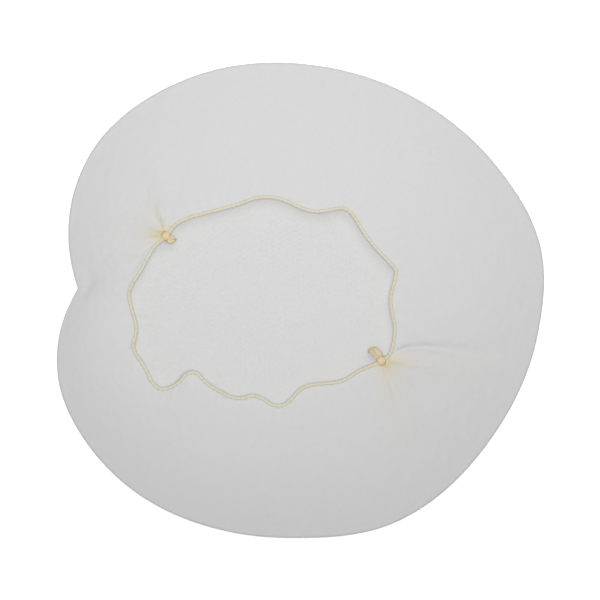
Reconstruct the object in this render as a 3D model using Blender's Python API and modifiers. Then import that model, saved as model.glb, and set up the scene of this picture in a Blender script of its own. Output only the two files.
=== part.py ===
"""Hairnet with an elastic edge, lying flat with its opening upwards.

A bag of fine mesh is folded flat: a bottom layer, a fold all round at the outline, and a top
ring that comes back to a closed loop of elastic cord. The bag's two bunched ends are bound to
the elastic, and a short tuft of each stands out of its binding, into the opening.
"""

import math
from collections import namedtuple

import bmesh
import bpy
from mathutils import Matrix, Vector
from mathutils.geometry import interpolate_bezier

MM = 0.001

# Sizes of the bag, in metres
BAG_LENGTH = 0.2435
BAG_WIDTH = 0.2376
BAG_LOFT = 0.0085
NET_WALL = 0.001
FOLD_GAP = 0.0008

# Sizes of the elastic, the bindings and the tufts
ELASTIC_DIAMETER = 0.0018
SEAT_GAP = 0.0003
BINDING_LENGTH = 0.0045
BINDING_THREAD = 0.0015
BINDING_TURNS = 3
TUFT_ROOT = 0.0030
TUFT_TIP = 0.0044
TUFT_LEAN = math.radians(20)
TUFT_DROOP = 0.0012

# The gathers that run out from each binding
GATHER_DEPTH = 0.0014
GATHER_REACH = 0.045
GATHER_START = 0.005
GATHER_SPREAD = math.radians(28)
CROWDING = 0.85
CROWDING_SPREAD = math.radians(14)

# The crease that runs in from the notch
NOTCH_CREASE_DEPTH = 0.0012
NOTCH_CREASE_SPREAD = math.radians(5)

# Fineness of the meshes
COLUMNS = 108
ROUTE_STEPS = 12
ELASTIC_POINTS = 80
BINDING_SIDES = 16
TUFT_SIDES = 16
FOLD_STEPS = 4

# The bag's outline seen from above, anticlockwise from its notch and back to it. Reach is a share
# of half the bag's length along X and of half its width along Y.
OutlinePoint = namedtuple("OutlinePoint", "bearing reach")
OUTLINE = [
    OutlinePoint(176.8, 0.917),
    OutlinePoint(184.7, 0.978),
    OutlinePoint(192.3, 1.024),
    OutlinePoint(200.8, 1.055),
    OutlinePoint(212.6, 1.064),
    OutlinePoint(230.3, 1.054),
    OutlinePoint(252.9, 1.018),
    OutlinePoint(270.0, 1.000),
    OutlinePoint(292.0, 1.012),
    OutlinePoint(324.3, 0.974),
    OutlinePoint(351.7, 0.984),
    OutlinePoint(373.2, 1.011),
    OutlinePoint(395.7, 0.985),
    OutlinePoint(418.6, 0.976),
    OutlinePoint(445.4, 0.994),
    OutlinePoint(474.0, 1.043),
    OutlinePoint(497.7, 1.070),
    OutlinePoint(510.9, 1.048),
    OutlinePoint(523.4, 0.996),
    OutlinePoint(536.8, 0.917),
]

# The elastic's route seen from above, clockwise from the left binding, in millimetres: x, y, and z
# of the cord's middle. The right binding is on the point that RIGHT_BINDING_POINT counts to.
ELASTIC_ROUTE = [
    (-66.9, 32.0, 6.8),
    (-63.9, 36.5, 7.0),
    (-57.3, 40.6, 7.2),
    (-49.0, 43.1, 7.2),
    (-33.5, 47.2, 7.0),
    (-22.5, 50.9, 6.9),
    (-14.2, 51.4, 7.0),
    (-6.7, 49.4, 7.2),
    (1.6, 45.6, 7.3),
    (9.1, 44.3, 7.4),
    (21.0, 45.9, 7.7),
    (25.7, 43.1, 7.8),
    (31.5, 34.0, 7.9),
    (37.3, 26.5, 7.8),
    (46.4, 16.6, 7.6),
    (47.6, 12.4, 7.5),
    (45.1, 1.7, 7.3),
    (45.6, -5.9, 7.1),
    (47.2, -14.2, 7.0),
    (45.2, -25.8, 6.9),
    (40.3, -30.4, 6.8),
    (29.0, -35.4, 6.9),
    (20.0, -40.5, 7.1),
    (2.4, -43.2, 7.4),
    (-5.9, -50.6, 7.3),
    (-12.5, -52.8, 7.2),
    (-22.5, -47.7, 7.4),
    (-32.4, -49.0, 7.4),
    (-45.7, -42.3, 7.4),
    (-54.0, -35.4, 7.7),
    (-62.3, -42.3, 7.1),
    (-69.7, -44.3, 6.9),
    (-75.5, -39.0, 6.9),
    (-77.2, -34.1, 7.0),
    (-83.5, -24.1, 7.0),
    (-81.9, -14.2, 7.0),
    (-85.2, -0.9, 6.9),
    (-85.2, 5.8, 7.0),
    (-79.7, 14.9, 7.1),
    (-73.1, 26.5, 6.9),
]
RIGHT_BINDING_POINT = 20

# Each bunched end: the bearing in which its gathers spread over the bag, and its tuft's length.
BunchedEnd = namedtuple("BunchedEnd", "name route_point gather_bearing tuft_length")
BUNCHED_ENDS = [
    BunchedEnd("left", 0, 155.0, 0.0032),
    BunchedEnd("right", RIGHT_BINDING_POINT, -37.0, 0.0060),
]

# Long folds of the top ring. Each starts at a bunched end and runs in its bearing. Reach is a share
# of the bag's length, spread is in degrees, and rise is a share of its loft, negative for a crease.
Fold = namedtuple("Fold", "end bearing reach spread rise")
FOLDS = [
    Fold("right", 13.0, 0.30, 6.0, -0.15),
    Fold("right", 30.0, 0.32, 8.0, 0.10),
    Fold("right", -6.0, 0.24, 8.0, 0.13),
    Fold("right", -78.0, 0.20, 8.0, 0.12),
    Fold("left", 118.0, 0.16, 8.0, -0.14),
    Fold("left", 96.0, 0.20, 9.0, 0.10),
    Fold("left", 168.0, 0.14, 11.0, 0.10),
    Fold("left", 200.0, 0.16, 8.0, -0.10),
]

# Rings of the net. Those of the bottom are shares of the way from its middle to the outline, and
# those of the top layer of the way from the elastic to it. The elastic's waves die out over the
# first of the top layer, it is highest at its crest, and its folds end where it starts to flatten.
BOTTOM_RINGS = [0.5, 0.85]
TOP_RINGS = [0.0, 0.03, 0.07, 0.12, 0.18, 0.26, 0.35, 0.46, 0.58, 0.71, 0.84, 0.94]
WAVE_FADE = 6
CREST = 0.30
FLATTENED = 0.80

# A tuft from its root to its cut end. Spread goes from the root's thickness to the tip's, and lobe
# is how deep the bundles of strands part, as a share of the thickness.
TuftSection = namedtuple("TuftSection", "along spread lobe")
TUFT_SECTIONS = [
    TuftSection(0.00, 0.00, 0.02),
    TuftSection(0.30, 0.35, 0.06),
    TuftSection(0.65, 0.85, 0.14),
    TuftSection(1.00, 1.00, 0.22),
]
TUFT_BUNDLES = 8

elastic_radius = ELASTIC_DIAMETER / 2
binding_bore = elastic_radius + SEAT_GAP
binding_radius = binding_bore + BINDING_THREAD
fold_height = 2 * NET_WALL + FOLD_GAP


def smooth_step(value):
    value = min(max(value, 0.0), 1.0)
    return value * value * (3 - 2 * value)


def bell(offset, spread):
    return math.exp(-((offset / spread) ** 2))


def turned(angle):
    """The angle within half a turn either way of zero."""
    return (angle + math.pi) % (2 * math.pi) - math.pi


def smooth_loop(points, steps):
    """Points on a smooth closed curve through the given ones."""
    count = len(points)
    curve = []
    for i in range(count):
        before, start, end, after = (points[(i + k) % count] for k in (-1, 0, 1, 2))
        curve += interpolate_bezier(
            start, start + (end - before) / 6, end - (after - start) / 6, end, steps + 1
        )[:-1]
    return curve


class Loop:
    """A closed line that is read at a distance along it."""

    def __init__(self, points):
        self.points = points + points[:1]
        self.distances = [0.0]
        for start, end in zip(self.points, self.points[1:]):
            self.distances.append(self.distances[-1] + (end - start).length)
        self.length = self.distances[-1]

    def at(self, distance):
        distance %= self.length
        step = 1
        while self.distances[step] < distance:
            step += 1
        start, end = self.distances[step - 1], self.distances[step]
        return self.points[step - 1].lerp(self.points[step], (distance - start) / (end - start))


def elastic_points():
    """The elastic's points, evenly spaced but straight through each binding, from the left one."""
    route = Loop(smooth_loop([Vector(point) * MM for point in ELASTIC_ROUTE], ROUTE_STEPS))
    middles = [route.distances[end.route_point * ROUTE_STEPS] for end in BUNCHED_ENDS]
    middles.append(route.length)
    free_points = ELASTIC_POINTS // len(BUNCHED_ENDS) - 1
    points = []
    for start, end in zip(middles, middles[1:]):
        points.append(route.at(start - BINDING_LENGTH / 2))
        free = (end - start - BINDING_LENGTH) / free_points
        points += [route.at(start + BINDING_LENGTH / 2 + free * i) for i in range(free_points)]
    return points


elastic = Loop(elastic_points())


def binding_place(end):
    """How far along the elastic the middle of a binding lies."""
    first = BUNCHED_ENDS.index(end) * (ELASTIC_POINTS // len(BUNCHED_ENDS))
    return (elastic.distances[first] + elastic.distances[first + 1]) / 2


def outward(distance):
    """The level direction away from the opening. The route runs clockwise, so that is its left."""
    ends = [elastic.at(distance + side * ELASTIC_DIAMETER) for side in (-1, 1)]
    forward = ends[1] - ends[0]
    return Vector((-forward.y, forward.x, 0)).normalized()


def column_bearing(column):
    """The bearing of one of the net's columns, in degrees, counted as the outline's rows are."""
    return OUTLINE[0].bearing + 360 * column / COLUMNS


def outline_reach(bearing):
    """The outline's reach between its rows, on a smooth line that keeps the notch sharp."""
    row = next(i for i in range(1, len(OUTLINE)) if bearing <= OUTLINE[i].bearing)
    start, end = OUTLINE[row - 1], OUTLINE[row]
    before = OUTLINE[max(row - 2, 0)]
    after = OUTLINE[min(row + 1, len(OUTLINE) - 1)]
    width = end.bearing - start.bearing
    leaving = (end.reach - before.reach) / (end.bearing - before.bearing) * width
    arriving = (after.reach - start.reach) / (after.bearing - start.bearing) * width
    t = (bearing - start.bearing) / width
    return (
        start.reach * (2 * t**3 - 3 * t**2 + 1)
        + leaving * (t**3 - 2 * t**2 + t)
        + end.reach * (3 * t**2 - 2 * t**3)
        + arriving * (t**3 - t**2)
    )


def outline_points():
    """The outline's points, one a column, scaled to the bag's length and width and centred."""
    shape = []
    for column in range(COLUMNS):
        bearing = column_bearing(column)
        way = Vector((math.cos(math.radians(bearing)), math.sin(math.radians(bearing))))
        shape.append(way * outline_reach(bearing))
    low = Vector((min(p.x for p in shape), min(p.y for p in shape)))
    high = Vector((max(p.x for p in shape), max(p.y for p in shape)))
    middle = (low + high) / 2
    scale_x = BAG_LENGTH / (high.x - low.x)
    scale_y = BAG_WIDTH / (high.y - low.y)
    return [Vector(((p.x - middle.x) * scale_x, (p.y - middle.y) * scale_y, 0)) for p in shape]


def off_gathers(column):
    """The least turn from this column to the middle of a bunched end's gathers."""
    turns = [math.radians(column_bearing(column) - end.gather_bearing) for end in BUNCHED_ENDS]
    return min(abs(turned(turn)) for turn in turns)


def crowded(turn, whole_turn):
    """The share of a stretch of elastic that a turn from one bunched end towards the next takes:
    it grows slowly near each of them, where the columns crowd together."""
    steps = 400
    weights = []
    for k in range(steps):
        middle = (k + 0.5) * whole_turn / steps
        nearest = min(middle, whole_turn - middle)
        weights.append(1 - CROWDING * bell(nearest, CROWDING_SPREAD))
    place = min(turn / whole_turn, 1.0) * steps
    whole = min(int(place), steps - 1)
    return (sum(weights[:whole]) + weights[whole] * (place - whole)) / sum(weights)


def edge_distances():
    """How far along the elastic each column meets it."""
    left, right = BUNCHED_ENDS
    upper_turn = math.radians(left.gather_bearing - right.gather_bearing)
    lower_turn = 2 * math.pi - upper_turn
    upper_length = binding_place(right) - binding_place(left)
    lower_length = elastic.length - upper_length
    distances = []
    for column in range(COLUMNS):
        turn = math.radians(left.gather_bearing - column_bearing(column)) % (2 * math.pi)
        if turn < upper_turn:
            distance = binding_place(left) + upper_length * crowded(turn, upper_turn)
        else:
            share = crowded(turn - upper_turn, lower_turn)
            distance = binding_place(right) + lower_length * share
        distances.append(distance)
    return distances


def bow(start, apart):
    """How far the elastic bows outwards from a straight line between two places along it."""
    way = outward(start + apart / 2)
    shares = [k / 8 for k in range(9)]
    bowed = [elastic.at(start + apart * share) for share in shares]
    straight = [bowed[0].lerp(bowed[-1], share) for share in shares]
    return max((curved - flat).dot(way) for curved, flat in zip(bowed, straight))


def edge_points(distances):
    """The net's edge: against the elastic where it is bare, and against a binding where one is."""
    nexts = distances[1:] + distances[:1]
    bows = [bow(after, (here - after) % elastic.length) for here, after in zip(distances, nexts)]
    edge = []
    for column, distance in enumerate(distances):
        stand_off = elastic_radius + max(bows[column - 1], bows[column])
        for end in BUNCHED_ENDS:
            away = abs(distance % elastic.length - binding_place(end))
            away = min(away, elastic.length - away) - BINDING_LENGTH / 2 - SEAT_GAP
            on_binding = 1 - smooth_step(away / (2 * BINDING_THREAD))
            beside = elastic_radius + (binding_radius - elastic_radius) * on_binding
            stand_off = max(stand_off, beside)
        edge.append(elastic.at(distance) + outward(distance) * (stand_off + SEAT_GAP))
    return edge


def evened(edge):
    """The same edge without its waves: each point moved straight to or from the middle, on to the
    ellipse that fills the edge's box."""
    low = Vector((min(p.x for p in edge), min(p.y for p in edge), 0))
    high = Vector((max(p.x for p in edge), max(p.y for p in edge), 0))
    middle = (low + high) / 2
    half = (high - low) / 2
    even = []
    for point in edge:
        away = Vector((point.x, point.y, 0)) - middle
        even.append(middle + away / math.hypot(away.x / half.x, away.y / half.y))
    return even


def fold_rise(point):
    """What the long folds add to the top layer's height at a point."""
    rise = 0.0
    for fold in FOLDS:
        end = next(end for end in BUNCHED_ENDS if end.name == fold.end)
        away = (point - elastic.at(binding_place(end))).xy
        along = min(away.length / (fold.reach * BAG_LENGTH), 1.0)
        off = turned(math.atan2(away.y, away.x) - math.radians(fold.bearing))
        hump = math.sin(math.pi * along**0.7)
        rise += fold.rise * BAG_LOFT * hump * bell(off, math.radians(fold.spread))
    return rise


def pleat_rise(column, away):
    """What the gathers add: a ridge on every other column, near the bunched ends only."""
    height = GATHER_DEPTH / 2 * (1 if column % 2 else -1)
    near_end = bell(off_gathers(column), GATHER_SPREAD)
    return height * near_end * smooth_step(away / GATHER_START) * (1 - smooth_step(away / GATHER_REACH))


def loft(share, edge_height):
    """The top layer's height without its folds: level with the elastic, up to a crest, and down."""
    if share <= CREST:
        return edge_height + (BAG_LOFT - edge_height) * smooth_step(share / CREST)
    down = (share - CREST) / (1 - CREST)
    return fold_height + (BAG_LOFT - fold_height) * math.cos(down * math.pi / 2)


def net_rings():
    """The bag's outer surface as rings of points, from its bottom's middle to its edge."""
    fold_radius = fold_height / 2
    edge = edge_points(edge_distances())
    even_edge = evened(edge)
    outline = outline_points()
    inward = [(even - out).normalized() for even, out in zip(even_edge, outline)]
    flat_rim = [out + way * fold_radius for out, way in zip(outline, inward)]

    rings = [[rim * share for rim in flat_rim] for share in BOTTOM_RINGS]
    for step in range(FOLD_STEPS + 1):
        turn = math.pi * step / FOLD_STEPS
        inset = fold_radius * (1 - math.sin(turn))
        rise = Vector((0, 0, fold_radius * (1 - math.cos(turn))))
        rings.append([out + way * inset + rise for out, way in zip(outline, inward)])

    for share in reversed(TOP_RINGS):
        ring = []
        for column in range(COLUMNS):
            wave = (edge[column] - even_edge[column]) * (1 - share) ** WAVE_FADE
            point = even_edge[column].lerp(flat_rim[column], share) + wave
            away = (point - edge[column]).xy.length
            folded = smooth_step(away / GATHER_START) * smooth_step((1 - share) / (1 - FLATTENED))
            off_notch = turned(math.radians(360 * column / COLUMNS))
            crease = NOTCH_CREASE_DEPTH * bell(off_notch, NOTCH_CREASE_SPREAD)
            point.z = loft(share, edge[column].z + NET_WALL / 2) + pleat_rise(column, away)
            point.z += (fold_rise(point) - crease) * folded
            ring.append(point)
        rings.append(ring)
    return rings


def skin(mesh, rings, last_cap=True):
    """Faces from ring to ring, and a fan of faces to a middle point at the first and last rings."""
    made = [[mesh.verts.new(point) for point in ring] for ring in rings]
    count = len(made[0])
    for lower, upper in zip(made, made[1:]):
        for i in range(count):
            mesh.faces.new((lower[i], lower[(i + 1) % count], upper[(i + 1) % count], upper[i]))
    for ring, flip in ((made[0], True), (made[-1], False))[: 2 if last_cap else 1]:
        middle = mesh.verts.new(sum((vert.co for vert in ring), Vector()) / count)
        for i in range(count):
            corners = (ring[i], ring[(i + 1) % count], middle)
            mesh.faces.new(reversed(corners) if flip else corners)
    bmesh.ops.recalc_face_normals(mesh, faces=mesh.faces)


def finish_mesh(mesh, name, collection, material):
    data = bpy.data.meshes.new(name)
    mesh.to_mesh(data)
    mesh.free()
    data.shade_smooth()
    data.materials.append(material)
    made = bpy.data.objects.new(name, data)
    collection.objects.link(made)
    return made


def plain_material(name, color, roughness):
    material = bpy.data.materials.new(name)
    material.use_nodes = True
    shader = material.node_tree.nodes["Principled BSDF"]
    shader.inputs["Base Color"].default_value = (*color, 1)
    shader.inputs["Roughness"].default_value = roughness
    shader.inputs["Metallic"].default_value = 0
    return material


def make_net(collection):
    mesh = bmesh.new()
    skin(mesh, net_rings(), last_cap=False)
    underside = min(mesh.faces, key=lambda face: face.calc_center_median().z)
    if underside.normal.z > 0:
        bmesh.ops.reverse_faces(mesh, faces=mesh.faces)
    net = finish_mesh(mesh, "net", collection, plain_material("pale_net", (0.80, 0.79, 0.75), 0.8))
    wall = net.modifiers.new("wall", "SOLIDIFY")
    wall.thickness = NET_WALL
    wall.offset = -1
    wall.use_even_offset = True


def make_elastic(collection):
    curve = bpy.data.curves.new("elastic", "CURVE")
    curve.dimensions = "3D"
    curve.twist_mode = "Z_UP"
    curve.bevel_depth = elastic_radius
    curve.bevel_resolution = 2
    curve.use_fill_caps = True
    line = curve.splines.new("POLY")
    line.points.add(ELASTIC_POINTS - 1)
    for place, point in zip(line.points, elastic.points):
        place.co = (*point, 1)
    line.use_cyclic_u = True
    curve.materials.append(plain_material("cream_elastic", (0.78, 0.68, 0.46), 0.75))
    collection.objects.link(bpy.data.objects.new("elastic", curve))


def end_frame(end):
    """Axes at a bunched end: X into the opening, Y along the elastic, Z across both."""
    place = binding_place(end)
    ends = [elastic.at(place + side * BINDING_LENGTH / 4) for side in (-1, 1)]
    forward = (ends[1] - ends[0]).normalized()
    inward = Vector((forward.y, -forward.x, 0)).normalized()
    across = inward.cross(forward).normalized()
    frame = Matrix((inward, forward, across)).transposed().to_4x4()
    frame.translation = (ends[0] + ends[1]) / 2
    return frame


def make_binding(end, collection, material):
    """Turns of thread wound round the elastic, as one turned ring with a rounded ridge a turn."""
    ridge_steps = 4
    end_slimming = 0.25
    profile = [(binding_bore, BINDING_LENGTH / 2)]
    for step in range(BINDING_TURNS * ridge_steps):
        along = (step + 0.5) / (BINDING_TURNS * ridge_steps)
        ridge = abs(math.sin(math.pi * BINDING_TURNS * along)) ** 0.5
        barrel = 1 - end_slimming * (2 * along - 1) ** 2
        height = BINDING_LENGTH * (0.5 - along)
        profile.append((binding_bore + BINDING_THREAD * ridge * barrel, height))
    profile.append((binding_bore, -BINDING_LENGTH / 2))

    mesh = bmesh.new()
    verts = [mesh.verts.new((radius, 0, height)) for radius, height in profile]
    for i, vert in enumerate(verts):
        mesh.edges.new((vert, verts[(i + 1) % len(verts)]))
    binding = finish_mesh(mesh, f"binding_{end.name}", collection, material)
    screw = binding.modifiers.new("turned", "SCREW")
    screw.axis = "Z"
    screw.steps = BINDING_SIDES
    screw.render_steps = BINDING_SIDES
    screw.use_merge_vertices = True
    screw.merge_threshold = 0.00001
    along_y = Matrix.Rotation(-math.pi / 2, 4, "X")
    binding.matrix_world = end_frame(end) @ along_y


def make_tuft(end, collection, material):
    """The cut end of the bunched net: round at its root, parted into bundles at its tip."""
    rings = []
    for section in TUFT_SECTIONS:
        radius = (TUFT_ROOT + (TUFT_TIP - TUFT_ROOT) * section.spread) / 2
        along = end.tuft_length * section.along
        inward = binding_radius + SEAT_GAP + along * math.cos(TUFT_LEAN)
        sideways = along * section.along * math.sin(TUFT_LEAN)
        droop = TUFT_DROOP * section.along**2
        middle = Vector((inward, sideways, -droop))
        ring = []
        for side in range(TUFT_SIDES):
            angle = 2 * math.pi * side / TUFT_SIDES
            parted = radius * (1 + section.lobe * math.cos(TUFT_BUNDLES * angle))
            ring.append(middle + parted * Vector((0, math.cos(angle), math.sin(angle))))
        rings.append(ring)
    mesh = bmesh.new()
    skin(mesh, rings)
    tuft = finish_mesh(mesh, f"tuft_{end.name}", collection, material)
    tuft.matrix_world = end_frame(end)


def main():
    for old in list(bpy.data.objects):
        bpy.data.objects.remove(old, do_unlink=True)
    hairnet = bpy.data.collections.new("hairnet")
    bpy.context.scene.collection.children.link(hairnet)
    make_net(hairnet)
    make_elastic(hairnet)
    binding_material = plain_material("cream_binding", (0.80, 0.62, 0.36), 0.7)
    tuft_material = plain_material("cream_tuft", (0.82, 0.66, 0.40), 0.8)
    for end in BUNCHED_ENDS:
        make_binding(end, hairnet, binding_material)
        make_tuft(end, hairnet, tuft_material)


main()
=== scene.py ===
import math
from collections import namedtuple

import bpy
import numpy as np
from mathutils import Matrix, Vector


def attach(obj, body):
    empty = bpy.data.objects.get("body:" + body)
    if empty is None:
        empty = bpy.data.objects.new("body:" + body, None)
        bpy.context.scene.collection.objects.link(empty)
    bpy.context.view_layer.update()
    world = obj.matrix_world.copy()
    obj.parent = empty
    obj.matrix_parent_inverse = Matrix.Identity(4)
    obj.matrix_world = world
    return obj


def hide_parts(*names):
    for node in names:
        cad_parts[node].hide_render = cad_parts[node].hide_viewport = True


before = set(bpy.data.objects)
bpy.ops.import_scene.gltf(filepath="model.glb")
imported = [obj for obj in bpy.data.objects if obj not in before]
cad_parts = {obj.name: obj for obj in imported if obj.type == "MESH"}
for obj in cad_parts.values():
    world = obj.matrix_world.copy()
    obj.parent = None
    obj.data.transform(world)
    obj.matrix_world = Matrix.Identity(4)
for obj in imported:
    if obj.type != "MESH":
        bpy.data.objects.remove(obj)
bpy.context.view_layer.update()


# The elastic edge. A round rubber cord with a braided cream cover, joined into one closed loop. It
# lies slack above the bag's opening, and the net's edge and both bunched ends are fixed to it.
elastic_radius = 0.0009
elastic_route = np.array([
    (-0.0669, 0.0320, 0.0068),
    (-0.0639, 0.0365, 0.0070),
    (-0.0573, 0.0406, 0.0072),
    (-0.0490, 0.0431, 0.0072),
    (-0.0335, 0.0472, 0.0070),
    (-0.0225, 0.0509, 0.0069),
    (-0.0142, 0.0514, 0.0070),
    (-0.0067, 0.0494, 0.0072),
    (0.0016, 0.0456, 0.0073),
    (0.0091, 0.0443, 0.0074),
    (0.0210, 0.0459, 0.0077),
    (0.0257, 0.0431, 0.0078),
    (0.0315, 0.0340, 0.0079),
    (0.0373, 0.0265, 0.0078),
    (0.0464, 0.0166, 0.0076),
    (0.0476, 0.0124, 0.0075),
    (0.0451, 0.0017, 0.0073),
    (0.0456, -0.0059, 0.0071),
    (0.0472, -0.0142, 0.0070),
    (0.0452, -0.0258, 0.0069),
    (0.0403, -0.0304, 0.0068),
    (0.0290, -0.0354, 0.0069),
    (0.0200, -0.0405, 0.0071),
    (0.0024, -0.0432, 0.0074),
    (-0.0059, -0.0506, 0.0073),
    (-0.0125, -0.0528, 0.0072),
    (-0.0225, -0.0477, 0.0074),
    (-0.0324, -0.0490, 0.0074),
    (-0.0457, -0.0423, 0.0074),
    (-0.0540, -0.0354, 0.0077),
    (-0.0623, -0.0423, 0.0071),
    (-0.0697, -0.0443, 0.0069),
    (-0.0755, -0.0390, 0.0069),
    (-0.0772, -0.0341, 0.0070),
    (-0.0835, -0.0241, 0.0070),
    (-0.0819, -0.0142, 0.0070),
    (-0.0852, -0.0009, 0.0069),
    (-0.0852, 0.0058, 0.0070),
    (-0.0797, 0.0149, 0.0071),
    (-0.0731, 0.0265, 0.0069),
])


def smooth_loop(points, steps):
    """A smooth closed curve through the given points, which runs through each of them."""
    ahead = np.roll(points, -1, axis=0)
    slope = (ahead - np.roll(points, 1, axis=0)) / 6
    start, end = points[:, None], ahead[:, None]
    leaving = start + slope[:, None]
    arriving = end - np.roll(slope, -1, axis=0)[:, None]
    t = np.linspace(0, 1, steps, endpoint=False)[:, None]
    curve = (1 - t) ** 3 * start + 3 * (1 - t) ** 2 * t * leaving
    curve = curve + 3 * (1 - t) * t**2 * arriving + t**3 * end
    return curve.reshape(-1, 3)


class Loop:
    """A closed line that is read at distances along it."""

    def __init__(self, points):
        self.points = np.vstack((points, points[:1]))
        steps = np.linalg.norm(np.diff(self.points, axis=0), axis=1)
        self.distances = np.concatenate(([0.0], np.cumsum(steps)))
        self.length = self.distances[-1]

    def at(self, distance):
        distance = np.mod(distance, self.length)
        axes = [np.interp(distance, self.distances, axis) for axis in self.points.T]
        return np.stack(axes, axis=-1)


# Between the bindings the cord follows its route, and inside each of them it is straight
binding_length = 0.0045
right_binding_point = 20
route_steps = 12
free_points = 39
route = Loop(smooth_loop(elastic_route, route_steps))
middles = [0.0, route.distances[right_binding_point * route_steps], route.length]
even_distances = []
for start, end in zip(middles, middles[1:]):
    free = np.linspace(start + binding_length / 2, end - binding_length / 2, free_points, endpoint=False)
    even_distances += [start - binding_length / 2, *free]
even_points = route.at(np.array(even_distances))
elastic = Loop(smooth_loop(even_points, route_steps))
right_start = free_points + 1
binding_ends = {"left": even_points[[0, 1]], "right": even_points[[right_start, right_start + 1]]}
binding_places = {
    "left": elastic.distances[[0, route_steps]].mean(),
    "right": elastic.distances[[right_start * route_steps, (right_start + 1) * route_steps]].mean(),
}


def unit(vectors):
    return vectors / np.linalg.norm(vectors, axis=-1, keepdims=True)


def mesh_of(name, points, faces):
    """A smooth-shaded object with this name, from points and from faces that all have as many corners."""
    mesh = bpy.data.meshes.new(name)
    faces = np.asarray(faces)
    mesh.vertices.add(len(points))
    mesh.vertices.foreach_set("co", np.asarray(points, np.float32).ravel())
    mesh.loops.add(faces.size)
    mesh.loops.foreach_set("vertex_index", faces.astype(np.int32).ravel())
    mesh.polygons.add(len(faces))
    mesh.polygons.foreach_set("loop_start", np.arange(0, faces.size, faces.shape[1], dtype=np.int32))
    mesh.update(calc_edges=True)
    mesh.shade_smooth()
    made = bpy.data.objects.new(name, mesh)
    bpy.context.scene.collection.objects.link(made)
    return made


def around(rings, sides, closed):
    """The faces of a tube whose points are counted side by side, ring after ring."""
    ring = np.arange(rings if closed else rings - 1)[:, None] * sides
    after = (ring + sides) % (rings * sides)
    side = np.arange(sides)[None, :]
    beside = (side + 1) % sides
    return np.stack((ring + side, ring + beside, after + beside, after + side), axis=-1).reshape(-1, 4)


# The cover is two sets of yarns that wind round the core both ways, over and under each other
cover_sides = 24
cover_rings = 1560
cover_yarns = 5
cover_turns = 78
cover_relief = 0.11
under_share = 0.55
yarn_rounding = 0.7
direction_step = 0.0004
places = np.arange(cover_rings) / cover_rings
distances = places * elastic.length
middle = elastic.at(distances)
forward = unit(elastic.at(distances + direction_step) - elastic.at(distances - direction_step))
across = unit(np.cross(forward, (0, 0, 1)))
upward = np.cross(across, forward)
turn = np.arange(cover_sides) / cover_sides
one_way = cover_yarns * (turn[None, :] - cover_turns * places[:, None])
other_way = cover_yarns * (turn[None, :] + cover_turns * places[:, None])
ridge = np.abs(np.sin(math.pi * one_way))
other_ridge = np.abs(np.sin(math.pi * other_way))
is_over = (np.floor(one_way) + np.floor(other_way)) % 2 == 0
over = np.where(is_over, ridge, other_ridge)
under = np.where(is_over, other_ridge, ridge)
height = np.maximum(over, under_share * under)
radius = elastic_radius * (1 - cover_relief * (1 - height**yarn_rounding))
swing = 2 * math.pi * turn[None, :, None]
cover_points = middle[:, None] + radius[..., None] * (
    across[:, None] * np.cos(swing) + upward[:, None] * np.sin(swing)
)
cover_faces = around(cover_rings, cover_sides, True)[:, ::-1]
elastic_cord = mesh_of("elastic_cord", cover_points.reshape(-1, 3), cover_faces)


class Socket:
    """An output of a node, so that sums and products of outputs can be written as such."""

    def __init__(self, finish, socket):
        self.finish = finish
        self.socket = socket

    def maths(self, operation, other, reflected=False):
        first, second = (other, self) if reflected else (self, other)
        return self.finish.node("ShaderNodeMath", {"operation": operation}, {0: first, 1: second})

    def __add__(self, other):
        return self.maths("ADD", other)

    def __sub__(self, other):
        return self.maths("SUBTRACT", other)

    def __rsub__(self, other):
        return self.maths("SUBTRACT", other, reflected=True)

    def __mul__(self, other):
        return self.maths("MULTIPLY", other)

    __radd__ = __add__
    __rmul__ = __mul__


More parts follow.
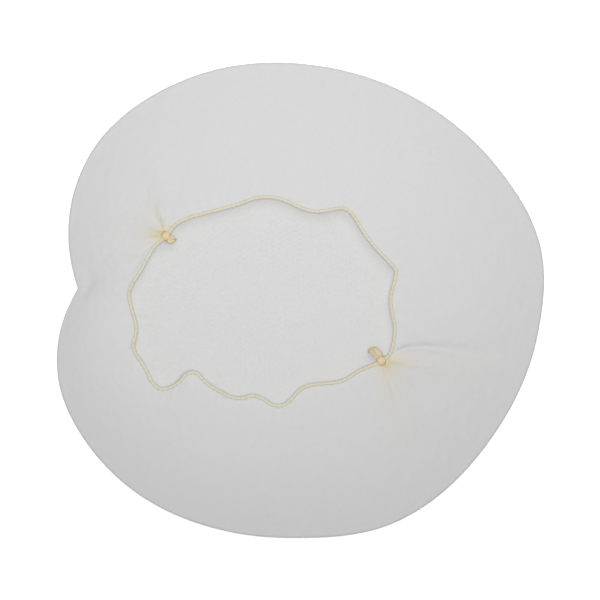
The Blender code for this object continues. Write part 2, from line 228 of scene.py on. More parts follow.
class Finish:
    """A material, whose nodes are all added by one method."""

    def __init__(self, name, roughness, **plain):
        self.material = bpy.data.materials.new(name)
        self.material.use_nodes = True
        self.tree = self.material.node_tree
        self.shader = self.tree.nodes["Principled BSDF"]
        self.put(self.shader.inputs["Roughness"], roughness)
        for socket, value in plain.items():
            self.put(self.shader.inputs[socket.replace("_", " ")], value)

    def put(self, socket, value):
        if isinstance(value, Socket):
            self.tree.links.new(value.socket, socket)
        else:
            socket.default_value = value

    def node(self, kind, settings=None, inputs=None, output=0):
        """Adds a node, gives it its settings and then its inputs, and hands back one output."""
        made = self.tree.nodes.new(kind)
        for setting, value in (settings or {}).items():
            if setting == "stops":
                for stop, (place, color) in zip(made.color_ramp.elements, value, strict=True):
                    stop.position = place
                    stop.color = color
            else:
                setattr(made, setting, value)
        for socket, value in (inputs or {}).items():
            self.put(made.inputs[socket], value)
        return Socket(self, made.outputs[output])

    def mixed(self, factor, first, second):
        """A colour between two colours."""
        return self.node(
            "ShaderNodeMix", {"data_type": "RGBA", "clamp_factor": True}, {0: factor, 6: first, 7: second}, 2
        )

    def cloudy(self, scale, detail=2.0):
        """Soft noise from 0 to 1, with this many lumps a metre."""
        place = self.node("ShaderNodeTexCoord", output="Object")
        return self.node("ShaderNodeTexNoise", {}, {"Vector": place, "Scale": scale, "Detail": detail})

    def raised(self, height, distance, strength):
        """Raises the surface by this distance where the height is 1, for the light alone."""
        bump = self.node("ShaderNodeBump", {}, {"Height": height, "Distance": distance, "Strength": strength})
        self.put(self.shader.inputs["Normal"], bump)

    def let_light_through(self, share, color, cover=None):
        """Lets this share of the light come through from behind, and all of it past what isn't covered."""
        lit = self.node("ShaderNodeBsdfTranslucent", {}, {"Color": color})
        front = Socket(self, self.shader.outputs["BSDF"])
        whole = self.node("ShaderNodeMixShader", {}, {0: share, 1: front, 2: lit})
        if cover is not None:
            gap = self.node("ShaderNodeBsdfTransparent")
            whole = self.node("ShaderNodeMixShader", {}, {0: cover, 1: gap, 2: whole})
        self.put(self.tree.nodes["Material Output"].inputs["Surface"], whole)


def ramp_stops(start, end):
    """A ramp's settings, from two pairs of a place and a grey value."""
    return {"stops": [(place, (value, value, value, 1)) for place, value in (start, end)]}


pale_cream = (0.80, 0.785, 0.65, 1)
deep_cream = (0.81, 0.75, 0.56, 1)
shaded_cream = (0.66, 0.585, 0.43, 1)
cream_from_behind = (0.79, 0.75, 0.59, 1)
cover_glow = 0.35
yarn_shade_share = 0.30
cord_lumps = 42.0
yarn_lumps = 1800.0
fibre_lumps = 5200.0
fibre_relief = 0.00006
fibre_strength = 0.6
cover = Finish("braided_cream_cover", 0.72, Sheen_Weight=0.4)
stretches = cover.cloudy(cord_lumps, 1.0)
stretches = cover.node("ShaderNodeValToRGB", ramp_stops((0.42, 0.0), (0.62, 1.0)), {0: stretches})
yarn_shade = cover.cloudy(yarn_lumps) * yarn_shade_share
cover_color = cover.mixed(yarn_shade, cover.mixed(stretches, pale_cream, deep_cream), shaded_cream)
cover.put(cover.shader.inputs["Base Color"], cover_color)
cover.let_light_through(cover_glow, cream_from_behind)
cover.raised(cover.cloudy(fibre_lumps, 3.0), fibre_relief, fibre_strength)
elastic_cord.data.materials.append(cover.material)
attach(elastic_cord, "root")
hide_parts("elastic")


# The net bag. One piece of very fine knitted net, gathered at two ends and sewn to the elastic, so
# that its wales run from one bound end to the other. It lies flat: a bottom layer, a fold at the
# outline, and a ring that comes back over it to the elastic.
bag_length = 0.2435
bag_width = 0.2376
bag_loft = 0.0085
fold_height = 0.0028
gather_depth = 0.0014
gather_reach = 0.045
gather_start = 0.005
crowding = 0.85
crowding_spread = 14.0
notch_crease_depth = 0.0012
notch_crease_spread = 5.0
crest = 0.30
flattened = 0.80
wave_fade = 6
binding_radius = 0.0027

OutlinePoint = namedtuple("OutlinePoint", "bearing reach")
outline_rows = np.array([
    OutlinePoint(176.8, 0.917),
    OutlinePoint(184.7, 0.978),
    OutlinePoint(192.3, 1.024),
    OutlinePoint(200.8, 1.055),
    OutlinePoint(212.6, 1.064),
    OutlinePoint(230.3, 1.054),
    OutlinePoint(252.9, 1.018),
    OutlinePoint(270.0, 1.000),
    OutlinePoint(292.0, 1.012),
    OutlinePoint(324.3, 0.974),
    OutlinePoint(351.7, 0.984),
    OutlinePoint(373.2, 1.011),
    OutlinePoint(395.7, 0.985),
    OutlinePoint(418.6, 0.976),
    OutlinePoint(445.4, 0.994),
    OutlinePoint(474.0, 1.043),
    OutlinePoint(497.7, 1.070),
    OutlinePoint(510.9, 1.048),
    OutlinePoint(523.4, 0.996),
    OutlinePoint(536.8, 0.917),
])

Fold = namedtuple("Fold", "end bearing curl reach spread rise")
folds = [
    Fold("right", 3.0, 44.0, 0.30, 5.0, -0.20),
    Fold("right", 32.0, 20.0, 0.32, 8.0, 0.05),
    Fold("right", -8.0, 4.0, 0.24, 8.0, 0.08),
    Fold("right", -66.0, 0.0, 0.24, 6.0, -0.05),
    Fold("right", -80.0, 0.0, 0.24, 7.0, 0.06),
    Fold("left", 124.0, 0.0, 0.15, 16.0, -0.12),
    Fold("left", 100.0, 0.0, 0.20, 9.0, 0.06),
    Fold("left", 80.0, 0.0, 0.30, 10.0, -0.05),
    Fold("left", 172.0, 0.0, 0.14, 9.0, 0.03),
    Fold("left", 192.0, 0.0, 0.16, 7.0, -0.04),
]
gather_bearings = {"left": 155.0, "right": -37.0}


def smooth_step(value):
    """A soft rise from 0 to 1."""
    value = np.clip(value, 0.0, 1.0)
    return value * value * (3 - 2 * value)


def turned(degrees):
    """The angle within half a turn either way of zero."""
    return (degrees + 180.0) % 360.0 - 180.0


def bearing_of(level):
    """The bearings of level steps, in degrees."""
    return np.degrees(np.arctan2(level[:, 1], level[:, 0]))


def bell(offset, spread):
    """1 at no offset, and softly less on both sides."""
    return np.exp(-((offset / spread) ** 2))


def outward(distance):
    """The level direction away from the opening."""
    along = elastic.at(distance + 2 * elastic_radius) - elastic.at(distance - 2 * elastic_radius)
    return unit(np.stack((-along[..., 1], along[..., 0], np.zeros(along.shape[:-1])), axis=-1))


# What the bag's shape takes from the outline and the elastic, at fine steps of bearing
bearing_count = 2881
bearings = np.linspace(outline_rows[0, 0], outline_rows[-1, 0], bearing_count)
rows, reaches = outline_rows.T
slopes = np.gradient(reaches, rows)
slopes[1:-1] = (reaches[2:] - reaches[:-2]) / (rows[2:] - rows[:-2])
row = np.clip(np.searchsorted(rows, bearings) - 1, 0, len(rows) - 2)
width = rows[row + 1] - rows[row]
t = (bearings - rows[row]) / width
reach = (
    reaches[row] * (2 * t**3 - 3 * t**2 + 1)
    + slopes[row] * width * (t**3 - 2 * t**2 + t)
    + reaches[row + 1] * (3 * t**2 - 2 * t**3)
    + slopes[row + 1] * width * (t**3 - t**2)
)
outline = np.stack((np.cos(np.radians(bearings)) * reach, np.sin(np.radians(bearings)) * reach), axis=-1)
low, high = outline.min(axis=0), outline.max(axis=0)
outline = (outline - (low + high) / 2) / (high - low) * (bag_length, bag_width)
outline = np.column_stack((outline, np.zeros(len(outline))))

upper_turn = gather_bearings["left"] - gather_bearings["right"]
upper_length = binding_places["right"] - binding_places["left"]
lower_turn = 360.0 - upper_turn
lower_length = elastic.length - upper_length
crowding_count = 801


def crowded(turn, whole_turn):
    """The share of a stretch of elastic up to this turn, which grows slowly near both bound ends."""
    places = np.linspace(0, whole_turn, crowding_count)
    nearest = np.minimum(places, whole_turn - places)
    weights = 1 - crowding * bell(nearest, crowding_spread)
    sums = np.concatenate(([0.0], np.cumsum((weights[1:] + weights[:-1]) / 2)))
    return np.interp(turn, places, sums / sums[-1])


turn = (gather_bearings["left"] - bearings) % 360.0
upper_edge = binding_places["left"] + upper_length * crowded(turn, upper_turn)
lower_edge = binding_places["right"] + lower_length * crowded(turn - upper_turn, lower_turn)
edge_distance = np.where(turn < upper_turn, upper_edge, lower_edge)
stand_off = 0.85 * elastic_radius
edge = elastic.at(edge_distance) + outward(edge_distance) * stand_off
low, high = edge.min(axis=0), edge.max(axis=0)
half = (high - low)[:2] / 2
away = edge - (low + high) / 2
away[:, 2] = 0
even_edge = away / np.hypot(away[:, 0] / half[0], away[:, 1] / half[1])[:, None]
even_edge[:, :2] += ((low + high) / 2)[:2]
inward = unit(even_edge - outline)


def rewound(bearing):
    """The same bearing, counted on from the outline's first point."""
    return bearings[0] + (bearing - bearings[0]) % 360.0


def at_bearing(table, bearing):
    """A table's row at each bearing, for the tables that hold one row a step of bearing."""
    return np.stack([np.interp(rewound(bearing), bearings, axis) for axis in table.T], axis=-1)


# The net meets the cord a little above its middle, lies just off the floor, and stays in its solid
edge_rise = 0.0009
lowest = 0.00015
height_share = 0.94

# The way from the middle of the bottom (0) over the outline to the elastic (1)
bottom_share = 0.640
fold_share = 0.664


def loft(share, edge_height):
    """The ring's height from the elastic (0) over its crest to the fold (1)."""
    rising = edge_height + (bag_loft - edge_height) * smooth_step(share / crest)
    down = (share - crest) / (1 - crest)
    falling = fold_height + (bag_loft - fold_height) * np.cos(np.clip(down, 0, 1) * math.pi / 2)
    return np.where(share <= crest, rising, falling)


def binding_middle(end):
    return binding_ends[end].mean(axis=0)


# Small unevenness: low swells in the bottom, fine crinkles in the ring, pleats at the bound ends,
# and puckers between the stitches
swell_rise = 0.00012
crinkle_depth = 0.00009
crinkle_start = 0.008
crinkle_fade = 0.1
Ripple = namedtuple("Ripple", "x y start sway sway_x sway_y sway_start")
swell_ripples = [Ripple(190, 0, 0.0, 2.0, 0, 60, 0.0), Ripple(0, 150, 1.0, 0.0, 0, 0, 0.0)]
level_ripples = [Ripple(980, 0, 0.0, 2.1, 0, 310, 0.6), Ripple(0, 430, 0.0, 1.7, 260, 0, 0.0)]
slant_ripples = [Ripple(620, -760, 0.0, 2.4, 170, 240, 0.0), Ripple(150, 90, 1.1, 0.0, 0, 0, 0.0)]
slant_share = 0.7
Waves = namedtuple("Waves", "count share start")
pleat_waves = [Waves(6.6, 0.10, 0.0), Waves(14.3, 0.07, 1.3)]
pleat_start = 0.016
pucker_waves = [Waves(68, 1.0, 0.0), Waves(43, 0.6, 2.0)]
pucker_rise = 0.00022
pucker_reach = 0.007
pucker_start = 0.0015


def waved(waves, turns):
    """The sum of some waves, at places counted in whole turns."""
    return sum(one.share * np.sin(2 * math.pi * one.count * turns + one.start) for one in waves)


def rippled(ripples, points):
    """Ripples across each other, from -1 to 1. They count in radians a metre, and each is swayed by
    a slower one."""
    x, y = points[:, 0], points[:, 1]
    height = np.ones(len(points))
    for one in ripples:
        sway = one.sway * np.sin(one.sway_x * x + one.sway_y * y + one.sway_start)
        height = height * np.sin(one.x * x + one.y * y + one.start + sway)
    return height


def bag_points(bearing, way, wale):
    """Points of the net at a bearing, a share of the way from the bottom's middle to the elastic,
    and a place across the wales."""
    rim_out = at_bearing(outline, bearing)
    edge_point = at_bearing(edge, bearing)
    even_point = at_bearing(even_edge, bearing)
    into = at_bearing(inward, bearing)
    fold_radius = fold_height / 2
    rim = rim_out + into * fold_radius

    bottom = rim * np.clip(way / bottom_share, 0, 1)[:, None]
    bottom[:, 2] = swell_rise * (1 + rippled(swell_ripples, bottom))

    swing = math.pi * np.clip((way - bottom_share) / (fold_share - bottom_share), 0, 1)
    fold = rim_out + into * (fold_radius * (1 - np.sin(swing)))[:, None]
    fold[:, 2] = fold_radius * (1 - np.cos(swing))

    share = 1 - np.clip((way - fold_share) / (1 - fold_share), 0, 1)
    wave = (edge_point - even_point) * ((1 - share) ** wave_fade)[:, None]
    top = even_point * (1 - share)[:, None] + rim * share[:, None] + wave
    away = np.linalg.norm((top - edge_point)[:, :2], axis=1)
    folded = smooth_step(away / gather_start) * smooth_step((1 - share) / (1 - flattened))
    rise = -notch_crease_depth * bell(turned(bearing - outline_rows[0, 0]), notch_crease_spread)
    for one in folds:
        from_end = (top - binding_middle(one.end))[:, :2]
        along = np.minimum(np.linalg.norm(from_end, axis=1) / (one.reach * bag_length), 1.0)
        off = turned(bearing_of(from_end) - one.bearing - one.curl * (1 - along) ** 3)
        rise = rise + one.rise * bag_loft * np.sin(math.pi * along**0.5) * bell(off, one.spread)
    pleat = np.zeros(len(top))
    for end in gather_bearings:
        from_end = np.linalg.norm((top - binding_middle(end))[:, :2], axis=1)
        fades = smooth_step(from_end / pleat_start) * (1 - smooth_step(from_end / gather_reach))
        pleat += gather_depth / 2 * fades * waved(pleat_waves, wale)
    along_edge = np.interp(rewound(bearing), bearings, np.unwrap(edge_distance, period=elastic.length))
    pucker = pucker_rise * waved(pucker_waves, along_edge / elastic.length)
    pucker = pucker * np.exp(-away / pucker_reach) * smooth_step(away / pucker_start)
    crinkle = crinkle_depth * (rippled(level_ripples, top) + slant_share * rippled(slant_ripples, top))
    crinkle = crinkle * smooth_step(away / crinkle_start) * smooth_step(share / crinkle_fade)
    top[:, 2] = loft(share, edge_point[:, 2] + edge_rise) + crinkle + pleat + rise * folded + pucker

    above = np.where((way < fold_share)[:, None], fold, top)
    points = np.where((way < bottom_share)[:, None], bottom, above)
    points[:, 2] = lowest + height_share * points[:, 2]
    return points


def strip_to_bag(course, wale):
    """Bearings and ways of places on the net before it was gathered: from one bound end (-1) to the
    other (1) along the wales, and from one half of the elastic (1) to the other (-1) across them."""
    disc = (course + 1j * wale) / (1 + 1j * course * wale)
    angle = np.degrees(np.angle(disc))
    upper = gather_bearings["right"] + angle * upper_turn / 180.0
    lower = gather_bearings["right"] + angle * lower_turn / 180.0
    return np.where(angle > 0, upper, lower), np.abs(disc)


# Just short of the elastic, where the sum below would have no end
edge_limit = 0.9995


def bag_to_strip(bearing, way):
    """The courses and wales of places on the bag."""
    turn = (bearing - gather_bearings["right"]) % 360.0
    upper = turn * 180.0 / upper_turn
    lower = (turn - 360.0) * 180.0 / lower_turn
    disc = np.minimum(way, edge_limit) * np.exp(1j * np.radians(np.where(turn < upper_turn, upper, lower)))
    place = np.arctanh(disc)
    return np.tanh(place.real), np.tan(place.imag)


# Where the net is bunched: at the bound ends and in streaks that run out from them
Streak = namedtuple("Streak", "end bearing length spread strength")
streaks = [
    Streak("right", 0.0, 0.008, 22.0, 0.60),
    Streak("right", -3.0, 0.024, 10.0, 0.20),
    Streak("right", -77.0, 0.018, 12.0, 0.30),
    Streak("right", -45.0, 0.009, 30.0, 0.50),
    Streak("left", 114.0, 0.010, 13.0, 0.42),
    Streak("left", 155.0, 0.007, 22.0, 0.35),
    Streak("left", 184.0, 0.008, 24.0, 0.70),
]
knot_bunching = 0.9
knot_spread = 0.0045
bunching_starts = 0.003
bunching_rises = 0.002


def bunching(points):
    """How bunched the net is at these points, from 0 to 1."""
    bunched = np.zeros(len(points))
    for one in streaks:
        from_end = (points - binding_middle(one.end))[:, :2]
        away = np.linalg.norm(from_end, axis=1)
        off = turned(bearing_of(from_end) - one.bearing)
        bunched += one.strength * bell(off, one.spread) * np.exp(-((away / one.length) ** 2) / 2)
    for end in gather_bearings:
        away = np.linalg.norm((points - binding_middle(end))[:, :2], axis=1)
        bunched += knot_bunching * bell(away, knot_spread)
    return np.clip(bunched, 0, 1) * smooth_step((points[:, 2] - bunching_starts) / bunching_rises)


def keep_bunching(piece):
    """Writes how bunched the net is on each point of a piece, for its material to read."""
    points = np.empty(len(piece.data.vertices) * 3, np.float32)
    piece.data.vertices.foreach_get("co", points)
    layer = piece.data.attributes.new("bunching", "FLOAT", "POINT")
    layer.data.foreach_set("value", bunching(points.reshape(-1, 3)).astype(np.float32))


# The finest threads, between the strands, are drawn on a sheer sheet
sheer_columns = 432
first_way = 0.02
bottom_rows = 24
fold_rows = 8
ring_rows = 58
row_crowding = 1.15
sheer_ways = np.concatenate((
    np.linspace(first_way, bottom_share, bottom_rows, endpoint=False),
    np.linspace(bottom_share, fold_share, fold_rows, endpoint=False),
    1 - (1 - fold_share) * np.linspace(1, 0, ring_rows) ** row_crowding,
))
bearing_grid = np.tile(bearings[0] + np.arange(sheer_columns) * 360.0 / sheer_columns, len(sheer_ways))
way_grid = np.repeat(sheer_ways, sheer_columns)
course_grid, wale_grid = bag_to_strip(bearing_grid, way_grid)
sheer_points = bag_points(bearing_grid, way_grid, wale_grid)
sheer_net = mesh_of("sheer_net", sheer_points, around(len(sheer_ways), sheer_columns, False))

# One face closes the hole in the middle of the bottom
bpy.ops.object.select_all(action="DESELECT")
bpy.context.view_layer.objects.active = sheer_net
sheer_net.select_set(True)
bpy.ops.object.mode_set(mode="EDIT")
bpy.ops.mesh.select_all(action="DESELECT")
bpy.ops.object.mode_set(mode="OBJECT")
for edge_of_hole in sheer_net.data.edges:
    edge_of_hole.select = max(edge_of_hole.vertices) < sheer_columns
bpy.ops.object.mode_set(mode="EDIT")
bpy.ops.mesh.edge_face_add()
bpy.ops.mesh.select_all(action="SELECT")
bpy.ops.mesh.normals_make_consistent(inside=False)
bpy.ops.object.mode_set(mode="OBJECT")

weave_layer = sheer_net.data.uv_layers.new(name="weave")
corner = np.empty(len(sheer_net.data.loops), np.int32)
sheer_net.data.loops.foreach_get("vertex_index", corner)
weave_places = np.column_stack((course_grid[corner], wale_grid[corner])).astype(np.float32)
weave_layer.data.foreach_set("uv", weave_places.ravel())
keep_bunching(sheer_net)

net_glow = 0.24
net_from_behind = (0.69, 0.69, 0.69, 1)
# Painted shade: the sheet's bottom layer is a darker grey than the ring above it
sheer_painted_shade_color = (0.588, 0.588, 0.588, 1)
ring_color = (0.695, 0.695, 0.695, 1)
bunched_color = (0.67, 0.59, 0.37, 1)
ring_starts = 0.0005
ring_whole = 0.0018


def net_tone(finish, bunched, painted_bottom_color):
    """The net's colour by height: a painted tone on the bottom layer (painted shade on the sheet,
    painted light on the strands), the ring's colour above it, and cream where it is bunched."""
    place = finish.node("ShaderNodeTexCoord", output="Object")
    height = finish.node("ShaderNodeSeparateXYZ", {}, {0: place}, 2)
    ring = (height - ring_starts) * (1 / (ring_whole - ring_starts))
    tone = finish.mixed(bunched, finish.mixed(ring, painted_bottom_color, ring_color), bunched_color)
    finish.put(finish.shader.inputs["Base Color"], tone)


sheer = Finish("sheer_net", 0.8)
bunched = sheer.node("ShaderNodeAttribute", {"attribute_name": "bunching"}, output="Fac")
net_tone(sheer, bunched, sheer_painted_shade_color)
drawn_threads = 480.0
plain_cover = 0.82
thread_cover = 0.12
bunched_cover = 0.2
weave_place = sheer.node("ShaderNodeUVMap", {"uv_map": "weave"})
along_weave = sheer.node("ShaderNodeSeparateXYZ", {}, {0: weave_place}) * drawn_threads
across_weave = sheer.node("ShaderNodeSeparateXYZ", {}, {0: weave_place}, 1) * drawn_threads
one_thread = (along_weave + across_weave).maths("PINGPONG", 1.0)
other_thread = (along_weave - across_weave).maths("PINGPONG", 1.0)
threads = one_thread.maths("MAXIMUM", other_thread)
covered = threads * thread_cover + plain_cover + bunched * bunched_cover
sheer.let_light_through(net_glow, net_from_behind, covered)
sheer_net.data.materials.append(sheer.material)
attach(sheer_net, "root")
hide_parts("net")

# The strands that carry the net: six-sided meshes, knitted along the wales
wales = 164
courses = 282
strand_thickness = 0.000055
full_cell = 0.0010
fullness_steps = 25
least_fullness = 0.06
mesh_zigzag = 1 / 6
course_line = np.linspace(-1, 1, courses + 3)[1:-1]
line_wale, line_course = np.meshgrid(np.arange(wales + 1), np.arange(courses + 1), indexing="ij")
sideways = np.where((line_wale + line_course) % 2 == 0, mesh_zigzag, -mesh_zigzag)
sideways[0], sideways[-1] = 0, 0
wale_places = np.clip(-1 + (line_wale + sideways) * 2 / wales, -1, 1)
course_places = course_line[line_course]
strand_bearing, strand_way = strip_to_bag(course_places.ravel(), wale_places.ravel())
strand_points = bag_points(strand_bearing, strand_way, wale_places.ravel())
first_wale, first_course = np.meshgrid(np.arange(wales), np.arange(courses - 1), indexing="ij")
whole = (first_wale + first_course) % 2 == 0
first = (first_wale * (courses + 1) + first_course)[whole]
beside = courses + 1
cells = np.stack((
    first, first + 1, first + 2, first + 2 + beside, first + 1 + beside, first + beside
), axis=-1)
strands = mesh_of("net_strands", strand_points, cells)
bpy.ops.object.select_all(action="DESELECT")
bpy.context.view_layer.objects.active = strands
strands.select_set(True)
cell_width = np.linalg.norm(strand_points[cells[:, 1]] - strand_points[cells[:, 4]], axis=1)
cell_length = np.linalg.norm(strand_points[cells[:, 0]] - strand_points[cells[:, 2]], axis=1)
fullness = np.zeros(len(strand_points))
cell_fullness = np.minimum(cell_width, cell_length) / full_cell
np.maximum.at(fullness, cells.ravel(), np.repeat(cell_fullness, cells.shape[1]))
fullness = np.round(np.clip(fullness, 0, 1) * fullness_steps).astype(int)
full_group = strands.vertex_groups.new(name="fullness")
for step in range(1, fullness_steps + 1):
    full_group.add(np.flatnonzero(fullness == step).tolist(), step / fullness_steps, "REPLACE")
wire = strands.modifiers.new("strands", "WIREFRAME")
wire.thickness = strand_thickness
wire.vertex_group = full_group.name
wire.thickness_vertex_group = least_fullness
wire.use_even_offset = False
wire.use_boundary = True
bpy.ops.object.modifier_apply(modifier=wire.name)

# Painted light: the strands of the bottom layer are whiter than those of the ring, to lift the shade on their
# sides
strand_painted_light_color = (0.795, 0.795, 0.795, 1)
strand = Finish("net_strand", 0.55)
bunched = strand.node("ShaderNodeAttribute", {"attribute_name": "bunching"}, output="Fac")
net_tone(strand, bunched, strand_painted_light_color)
strand.let_light_through(net_glow, net_from_behind)
strands.data.materials.append(strand.material)


def take_off(piece, chosen, name):
    """Separates the faces whose middles are chosen from a piece, under a name of their own."""
    middles = np.empty(len(piece.data.polygons) * 3, np.float32)
    piece.data.polygons.foreach_get("center", middles)
    bpy.ops.object.select_all(action="DESELECT")
    bpy.context.view_layer.objects.active = piece
    piece.select_set(True)
    bpy.ops.object.mode_set(mode="EDIT")
    bpy.ops.mesh.select_mode(type="FACE")
    bpy.ops.mesh.select_all(action="DESELECT")
    bpy.ops.object.mode_set(mode="OBJECT")
    piece.data.polygons.foreach_set("select", chosen(middles.reshape(-1, 3)))
    bpy.ops.object.mode_set(mode="EDIT")
    bpy.ops.mesh.separate(type="SELECTED")
    bpy.ops.object.mode_set(mode="OBJECT")
    taken = next(one for one in bpy.context.selected_objects if one != piece)
    taken.name = name
    return taken


def close_ends(piece):
    """Closes what is open at a cut or at the end of a tube, and points all faces outwards."""
    bpy.ops.object.select_all(action="DESELECT")
    bpy.context.view_layer.objects.active = piece
    piece.select_set(True)
    bpy.ops.object.mode_set(mode="EDIT")
    bpy.ops.mesh.select_all(action="SELECT")
    bpy.ops.mesh.dissolve_degenerate(threshold=0.000001)
    for _ in range(2):
        bpy.ops.mesh.select_all(action="SELECT")
        bpy.ops.mesh.fill_holes(sides=0)
    bpy.ops.mesh.select_all(action="SELECT")
    bpy.ops.mesh.normals_make_consistent(inside=False)
    bpy.ops.object.mode_set(mode="OBJECT")


fold_middle = 0.0014
ring_middle = -0.012
net_pieces = [
    take_off(strands, lambda at: (at[:, 2] < fold_middle) & (at[:, 0] < 0), "net_bottom_left"),
    take_off(strands, lambda at: at[:, 2] < fold_middle, "net_bottom_right"),
    take_off(strands, lambda at: at[:, 0] < ring_middle, "net_ring_left"),
    strands,
]
strands.name = "net_ring_right"
for piece in net_pieces:
    close_ends(piece)
    keep_bunching(piece)
    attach(piece, "root")
    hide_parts("net")


# The bindings. Waxed cream thread wound tightly round the elastic and the bunched net, in three
# layers that leave a small barrel, with two turns crossed over it to lock them.
nearly_upright = 0.9


def tube(path, radius, sides):
    """The points and faces of a tube along a path, open at both ends."""
    path = np.asarray(path)
    forward = unit(np.gradient(path, axis=0))
    up = np.tile((0.0, 0.0, 1.0), (len(path), 1))
    up[np.abs(forward[:, 2]) > nearly_upright] = (1.0, 0.0, 0.0)
    across = unit(np.cross(forward, up))
    up = np.cross(across, forward)
    swing = 2 * math.pi * np.arange(sides) / sides
    around_it = across[:, None] * np.cos(swing)[:, None] + up[:, None] * np.sin(swing)[:, None]
    points = (path[:, None] + radius * around_it).reshape(-1, 3)
    return points, around(len(path), sides, False)[:, ::-1]


def joined(tubes):
    """The points and faces of many tubes as one mesh's."""
    points, faces, count = [], [], 0
    for more_points, more_faces in tubes:
        points.append(more_points)
        faces.append(more_faces + count)
        count += len(more_points)
    return np.concatenate(points), np.concatenate(faces)


thread_radius = 0.00026
thread_sides = 6
thread_steps = 20
Layer = namedtuple("Layer", "radius length")
layers = [Layer(0.00125, 0.0045), Layer(0.00172, 0.0041), Layer(0.00216, 0.0034)]
barrel_crown = 0.06
crossed_radius = 0.00245
crossed_slant = 0.0011
crossed_start = 0.6
light_thread = (0.93, 0.82, 0.57, 1)
dark_thread = (0.85, 0.70, 0.44, 1)
thread_from_behind = (0.89, 0.76, 0.51, 1)
thread_glow = 0.30
thread_lumps = 900.0
thread = Finish("waxed_cream_thread", 0.6)
thread_color = thread.mixed(thread.cloudy(thread_lumps), light_thread, dark_thread)
thread.put(thread.shader.inputs["Base Color"], thread_color)
thread.let_light_through(thread_glow, thread_from_behind)
thread.raised(thread.cloudy(fibre_lumps, 3.0), fibre_relief, fibre_strength)


def end_axes(end):
    """Into the opening, along the elastic, and across both, at a bunched end."""
    along = unit(binding_ends[end][1] - binding_ends[end][0])
    into = unit(np.array((along[1], -along[0], 0.0)))
    return np.stack((into, along, np.cross(into, along)))


def winding(radius, side, swing):
    """A path round a bound end, by its distance from the middle, its place along it and its swing."""
    return np.stack((radius * np.cos(swing), side, radius * np.sin(swing)), axis=-1)


for end in gather_bearings:
    wound = []
    for layer in layers:
        turns = layer.length / (2 * thread_radius)
        at = np.linspace(0, 1, int(turns * thread_steps))
        side = (at - 0.5) * (layer.length - 2 * thread_radius)
        barrel = layer.radius * (1 - barrel_crown * (2 * at - 1) ** 2)
        wound.append(winding(barrel, side, 2 * math.pi * turns * at))
    for slant in (-crossed_slant, crossed_slant):
        swing = np.linspace(0, 2 * math.pi, 2 * thread_steps + 1)
        wound.append(winding(crossed_radius, slant * np.sin(swing + crossed_start), swing))
    tubes = [tube(path @ end_axes(end) + binding_middle(end), thread_radius, thread_sides) for path in wound]
    binding = mesh_of(f"binding_thread_{end}", *joined(tubes))
    close_ends(binding)
    binding.data.materials.append(thread.material)
    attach(binding, "root")
    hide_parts(f"binding_{end}")


# The tufts. Past each binding the bunched net is cut off short, and its loose strands spread out
# into the opening.
Tuft = namedtuple("Tuft", "end length tip strands")
tufts = [Tuft("left", 0.0027, 0.0038, 90), Tuft("right", 0.0058, 0.0050, 110)]
tuft_root = 0.0034
tuft_lean = math.radians(20)
tuft_droop = 0.0012
tuft_strand = 0.00013
tuft_strand_sides = 5
tuft_strand_points = 6
tuft_start = 0.0015
tuft_curl = 0.00016
curl_turn = 5
curl_starts = 6
leaving_share = 0.25
shortest_cut = 0.72
uneven_cut = 0.20
middle_longer = 0.18
light_tuft = (0.90, 0.80, 0.57, 1)
dark_tuft = (0.83, 0.71, 0.47, 1)
tuft_from_behind = (0.86, 0.75, 0.52, 1)
tuft_glow = 0.20
tuft_lumps = 700.0
chance = np.random.default_rng(7)
cut_strand = Finish("cut_cream_strand", 0.6)
tuft_color = cut_strand.mixed(cut_strand.cloudy(tuft_lumps), light_tuft, dark_tuft)
cut_strand.put(cut_strand.shader.inputs["Base Color"], tuft_color)
cut_strand.let_light_through(tuft_glow, tuft_from_behind)
for tuft in tufts:
    tubes = []
    for _ in range(tuft.strands):
        out = math.sqrt(chance.random())
        way_round = 2 * math.pi * chance.random()
        reach = tuft.length * (shortest_cut + uneven_cut * chance.random() + middle_longer * (1 - out**2))
        along = np.linspace(0, 1, tuft_strand_points)
        spread = (tuft_root + (tuft.tip - tuft_root) * along) / 2
        curl = tuft_curl * np.sin(along * curl_turn + curl_starts * chance.random()) * along
        leaving = tuft_start + (binding_radius - tuft_start) * smooth_step(along / leaving_share)
        into = leaving + reach * along * math.cos(tuft_lean)
        side = out * math.cos(way_round) * spread + reach * along**2 * math.sin(tuft_lean) + curl
        height = out * math.sin(way_round) * spread - tuft_droop * along**2 + curl
        path = np.stack((into, side, height), axis=-1)
        path = path @ end_axes(tuft.end) + binding_middle(tuft.end)
        tubes.append(tube(path, tuft_strand, tuft_strand_sides))
    loose = mesh_of(f"tuft_strands_{tuft.end}", *joined(tubes))
    close_ends(loose)
    loose.data.materials.append(cut_strand.material)
    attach(loose, "root")
    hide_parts(f"tuft_{tuft.end}")


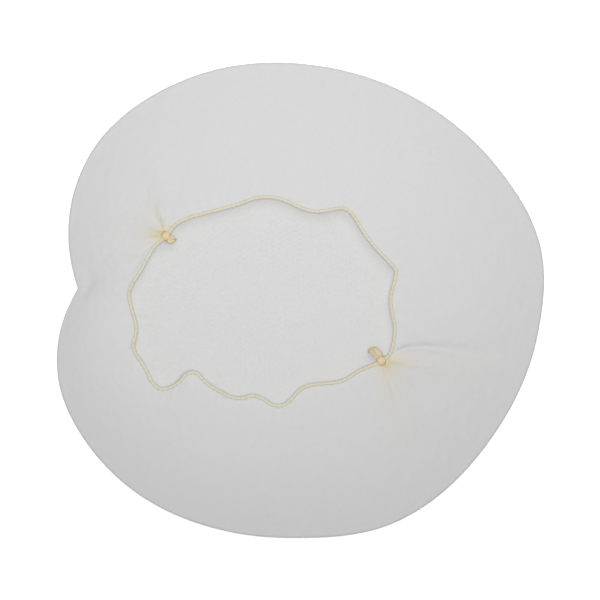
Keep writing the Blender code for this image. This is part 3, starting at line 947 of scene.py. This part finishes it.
# The edge stitches. A fine thread goes round the elastic and through the net's edge meshes all the
# way along, a stitch every couple of millimetres, which fixes the net to the cord.
stitches = 164
stitch_radius = 0.0001
stitch_sides = 4
stitch_points = 15
room_at_binding = 0.0008
thread_off_cord = 0.00005
hold_of_net = 0.22
hold_spread = 0.7
stitch_lean = 0.0004
stitch_sway = 0.00015
half_loop = elastic.length / 2
tubes = []
for number in range(stitches):
    place = elastic.length * number / stitches
    to_bindings = [(place - one + half_loop) % elastic.length - half_loop for one in binding_places.values()]
    if min(map(abs, to_bindings)) < binding_length / 2 + room_at_binding:
        continue
    swing = np.linspace(0, 2 * math.pi, stitch_points)
    reach = (elastic_radius + thread_off_cord) * (1.0 + hold_of_net * bell(swing - math.pi, hold_spread))
    out = outward(np.array([place]))[0]
    along = unit(np.cross(out, (0, 0, 1)))
    slant = stitch_lean * np.sin(swing / 2) + stitch_sway * np.sin(swing)
    path = elastic.at(np.array([place]))[0] - out * (reach * np.cos(swing))[:, None]
    path = path + np.array((0, 0, 1)) * (reach * np.sin(swing))[:, None] + along * slant[:, None]
    tubes.append(tube(path, stitch_radius, stitch_sides))
edge_stitches = mesh_of("edge_stitches", *joined(tubes))
close_ends(edge_stitches)
edge_stitches.data.materials.append(strand.material)
keep_bunching(edge_stitches)
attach(edge_stitches, "root")


# The floor, the light and the camera. The net lies on a plain white floor under soft light from
# above and from the top of the picture, and is seen from straight above.
bpy.ops.mesh.primitive_plane_add(size=6)
floor = bpy.context.object
floor.name = "floor"
white = Finish(
    "white_floor", 0.9, Base_Color=(0.95, 0.95, 0.95, 1), Emission_Color=(1, 1, 1, 1), Emission_Strength=0.2
)
floor.data.materials.append(white.material)
beam_spread = math.radians(130)


def soft_light(name, place, aim, size, power):
    """A round lamp at a place, whose beam points at another place."""
    lamp = bpy.data.lights.new(name, "AREA")
    lamp.shape = "DISK"
    lamp.size = size
    lamp.energy = power
    lamp.spread = beam_spread
    made = bpy.data.objects.new(name, lamp)
    made.visible_camera = False
    bpy.context.scene.collection.objects.link(made)
    made.location = place
    made.rotation_euler = (Vector(aim) - Vector(place)).to_track_quat("-Z", "Y").to_euler()


soft_light("key", place=(-0.01, 0.0, 0.75), aim=(-0.02, 0.27, 0.0), size=0.30, power=2.65)
soft_light("fill", place=(0.1, 0.55, 1.1), aim=(0.0, 0.0, 0.0), size=0.8, power=1.9)
sky_strength = 0.26
world = bpy.data.worlds.new("studio")
bpy.context.scene.world = world
world.use_nodes = True
sky = world.node_tree.nodes["Background"]
sky.inputs["Color"].default_value = (1, 1, 1, 1)
sky.inputs["Strength"].default_value = sky_strength
bpy.context.scene.view_settings.view_transform = "Standard"

frame_width = 0.3
frame_middle = np.array((-0.00025, 0.00015, 0.0014))
lens = bpy.data.cameras.new("camera")
lens.lens = 300
lens.sensor_width = 36
camera = bpy.data.objects.new("camera", lens)
bpy.context.scene.collection.objects.link(camera)
camera.location = frame_middle + (0, 0, frame_width * lens.lens / lens.sensor_width)
bpy.context.scene.camera = camera
